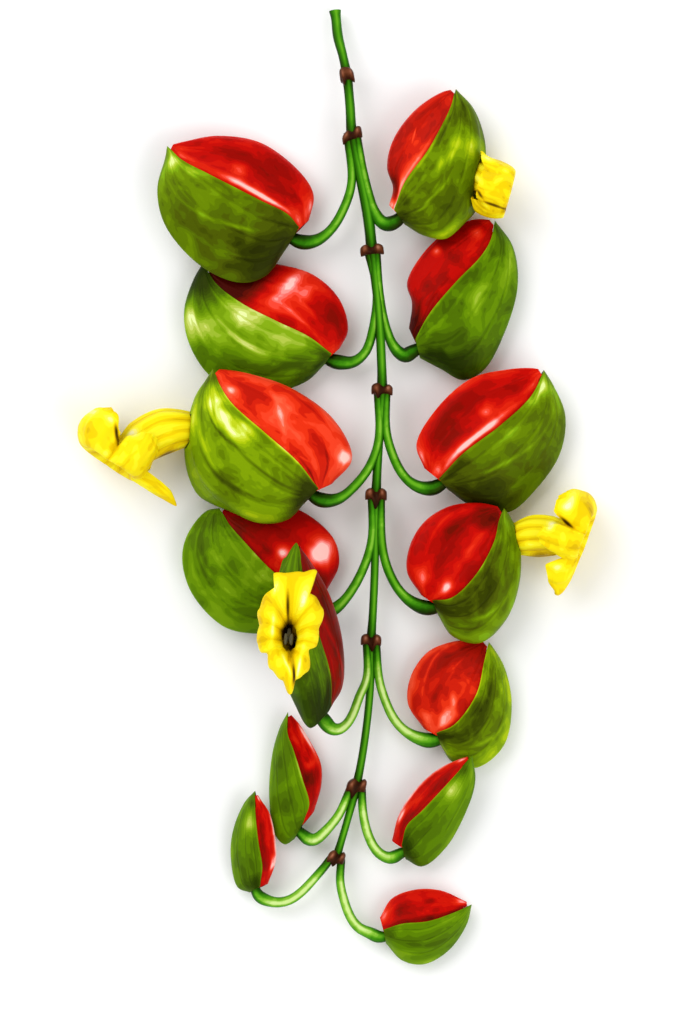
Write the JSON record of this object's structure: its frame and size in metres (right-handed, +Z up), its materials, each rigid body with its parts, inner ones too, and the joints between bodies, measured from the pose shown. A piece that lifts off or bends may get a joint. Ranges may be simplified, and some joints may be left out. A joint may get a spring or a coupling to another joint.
{
  "type": "clock vine flower spray",
  "caption": "Cut hanging spray of clock vine laid flat: curved stalks in opposite pairs bear pods of a green and a red bract, and ribbed yellow flowers open out of some of them.",
  "frame": {"origin": "middle of the spray's bounding box, on the surface that it lies on", "axes": "+Y along the stem to its cut end, +X to the right of the picture, +Z up towards the viewer"},
  "size_m": [0.1246, 0.2302, 0.0325],
  "materials": {
    "stem_green": "satin",
    "node_brown": "satin",
    "bract_green": "satin",
    "bract_red": "satin",
    "corolla_yellow": "satin",
    "anther_grey": "matte"
  },
  "bodies": {
    "root": {"stem": "stem_green", "node_scale_1": "node_brown", "node_scale_2": "node_brown", "node_scale_3": "node_brown", "node_scale_4": "node_brown", "node_scale_5": "node_brown", "node_scale_6": "node_brown", "node_scale_7": "node_brown", "node_scale_8": "node_brown", "green_bract_left_1": "bract_green", "red_bract_left_1": "bract_red", "green_bract_left_2": "bract_green", "red_bract_left_2": "bract_red", "corolla_left_3": "corolla_yellow", "green_bract_left_3": "bract_green", "red_bract_left_3": "bract_red", "green_bract_left_4": "bract_green", "red_bract_left_4": "bract_red", "corolla_left_5": "corolla_yellow", "anthers_left_5": "anther_grey", "green_bract_left_5": "bract_green", "red_bract_left_5": "bract_red", "green_bract_left_6": "bract_green", "red_bract_left_6": "bract_red", "green_bract_left_7": "bract_green", "red_bract_left_7": "bract_red", "corolla_right_1": "corolla_yellow", "green_bract_right_1": "bract_green", "red_bract_right_1": "bract_red", "green_bract_right_2": "bract_green", "red_bract_right_2": "bract_red", "green_bract_right_3": "bract_green", "red_bract_right_3": "bract_red", "corolla_right_4": "corolla_yellow", "green_bract_right_4": "bract_green", "red_bract_right_4": "bract_red", "green_bract_right_5": "bract_green", "red_bract_right_5": "bract_red", "green_bract_right_6": "bract_green", "red_bract_right_6": "bract_red", "green_bract_right_7": "bract_green", "red_bract_right_7": "bract_red"}
  },
  "joints": []
}
